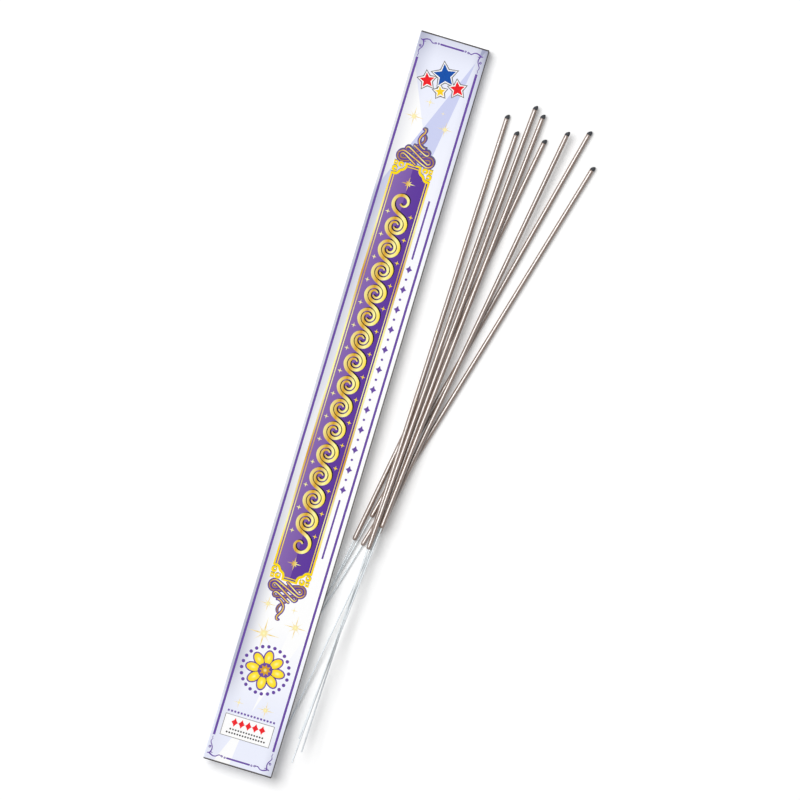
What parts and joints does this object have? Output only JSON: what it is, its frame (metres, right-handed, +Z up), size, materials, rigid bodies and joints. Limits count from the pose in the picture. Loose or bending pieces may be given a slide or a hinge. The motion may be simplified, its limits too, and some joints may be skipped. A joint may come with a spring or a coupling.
{
  "type": "sparkler set",
  "caption": "Long flat card box with tuck-in ends, lying on the wire handles of hand-held sparklers that are fanned out beside it.",
  "frame": {"origin": "on the table, in the middle of the set's footprint", "axes": "+Y along the carton to its top end, +X across to the fanned sparklers, +Z up"},
  "size_m": [0.1566, 0.575, 0.0212],
  "materials": {
    "printed_card": "satin print",
    "plain_card": "uncoated",
    "steel_wire": "drawn",
    "sparkler_coating": "dull grainy",
    "ignition_tip": "matt"
  },
  "bodies": {
    "carton": {"front_panel": "printed_card", "back_panel": "printed_card", "left_panel": "printed_card", "right_panel": "printed_card", "glue_flap": "plain_card"},
    "top_closure": {"top_lid": "printed_card", "top_tuck_tongue": "plain_card"},
    "top_right_dust_flap": {"top_right_dust_flap": "plain_card"},
    "top_left_dust_flap": {"top_left_dust_flap": "plain_card"},
    "bottom_closure": {"bottom_lid": "printed_card", "bottom_tuck_tongue": "plain_card"},
    "bottom_right_dust_flap": {"bottom_right_dust_flap": "plain_card"},
    "bottom_left_dust_flap": {"bottom_left_dust_flap": "plain_card"},
    "sparkler_1": {"sparkler_1_wire": "steel_wire", "sparkler_1_coating": "sparkler_coating", "sparkler_1_tip": "ignition_tip"},
    "sparkler_2": {"sparkler_2_wire": "steel_wire", "sparkler_2_coating": "sparkler_coating", "sparkler_2_tip": "ignition_tip"},
    "sparkler_3": {"sparkler_3_wire": "steel_wire", "sparkler_3_coating": "sparkler_coating", "sparkler_3_tip": "ignition_tip"},
    "sparkler_4": {"sparkler_4_wire": "steel_wire", "sparkler_4_coating": "sparkler_coating", "sparkler_4_tip": "ignition_tip"},
    "sparkler_5": {"sparkler_5_wire": "steel_wire", "sparkler_5_coating": "sparkler_coating", "sparkler_5_tip": "ignition_tip"},
    "sparkler_6": {"sparkler_6_wire": "steel_wire", "sparkler_6_coating": "sparkler_coating", "sparkler_6_tip": "ignition_tip"},
    "sparkler_7": {"sparkler_7_wire": "steel_wire", "sparkler_7_coating": "sparkler_coating", "sparkler_7_tip": "ignition_tip"},
    "sparkler_8": {"sparkler_8_wire": "steel_wire", "sparkler_8_coating": "sparkler_coating", "sparkler_8_tip": "ignition_tip"}
  },
  "joints": [
    {"name": "top_lid_hinge", "type": "hinge", "parent": "carton", "child": "top_closure", "pos_m": [-0.05133, 0.28697, 0.00951], "axis": [1, 0, 0], "range_deg": [0, 110]},
    {"name": "top_right_dust_flap_hinge", "type": "hinge", "parent": "carton", "child": "top_right_dust_flap", "pos_m": [-0.02433, 0.28622, 0.00477], "axis": [0, -0.0121, -0.9999], "range_deg": [0, 44]},
    {"name": "top_left_dust_flap_hinge", "type": "hinge", "parent": "carton", "child": "top_left_dust_flap", "pos_m": [-0.07833, 0.28622, 0.00477], "axis": [0, 0.0121, 0.9999], "range_deg": [0, 44]},
    {"name": "bottom_lid_hinge", "type": "hinge", "parent": "carton", "child": "bottom_closure", "pos_m": [-0.05133, -0.28685, 0.01644], "axis": [-1, 0, 0], "range_deg": [0, 110]},
    {"name": "bottom_right_dust_flap_hinge", "type": "hinge", "parent": "carton", "child": "bottom_right_dust_flap", "pos_m": [-0.02433, -0.28622, 0.01168], "axis": [0, 0.0121, 0.9999], "range_deg": [0, 44]},
    {"name": "bottom_left_dust_flap_hinge", "type": "hinge", "parent": "carton", "child": "bottom_left_dust_flap", "pos_m": [-0.07833, -0.28622, 0.01168], "axis": [0, -0.0121, -0.9999], "range_deg": [0, 44]},
    {"name": "sparkler_5_draw", "type": "slide", "parent": "carton", "child": "sparkler_5", "axis": [0.1538, 0.9881, -0.0067], "range_m": [0, 0.25]},
    {"name": "sparkler_6_draw", "type": "slide", "parent": "carton", "child": "sparkler_6", "axis": [0.1495, 0.9887, 0.0065], "range_m": [0, 0.25]},
    {"name": "sparkler_7_draw", "type": "slide", "parent": "carton", "child": "sparkler_7", "axis": [0.2241, 0.9746, -0.0028], "range_m": [0, 0.25]},
    {"name": "sparkler_8_draw", "type": "slide", "parent": "carton", "child": "sparkler_8", "axis": [0.2554, 0.9668, 0], "range_m": [0, 0.25]},
    {"name": "sparkler_3_lift", "type": "slide", "parent": "carton", "child": "sparkler_3", "axis": [0, 0, 1], "range_m": [0, 0.12]},
    {"name": "sparkler_1_lift", "type": "slide", "parent": "sparkler_3", "child": "sparkler_1", "axis": [0, 0, 1], "range_m": [0, 0.12]},
    {"name": "sparkler_4_lift", "type": "slide", "parent": "sparkler_1", "child": "sparkler_4", "axis": [0, 0, 1], "range_m": [0, 0.12]},
    {"name": "sparkler_2_lift", "type": "slide", "parent": "sparkler_4", "child": "sparkler_2", "axis": [0, 0, 1], "range_m": [0, 0.12]}
  ],
  "couplings": [
    {"joint": "top_right_dust_flap_hinge", "follows": "top_lid_hinge", "ratio": 0.4},
    {"joint": "top_left_dust_flap_hinge", "follows": "top_lid_hinge", "ratio": 0.4},
    {"joint": "bottom_right_dust_flap_hinge", "follows": "bottom_lid_hinge", "ratio": 0.4},
    {"joint": "bottom_left_dust_flap_hinge", "follows": "bottom_lid_hinge", "ratio": 0.4}
  ]
}
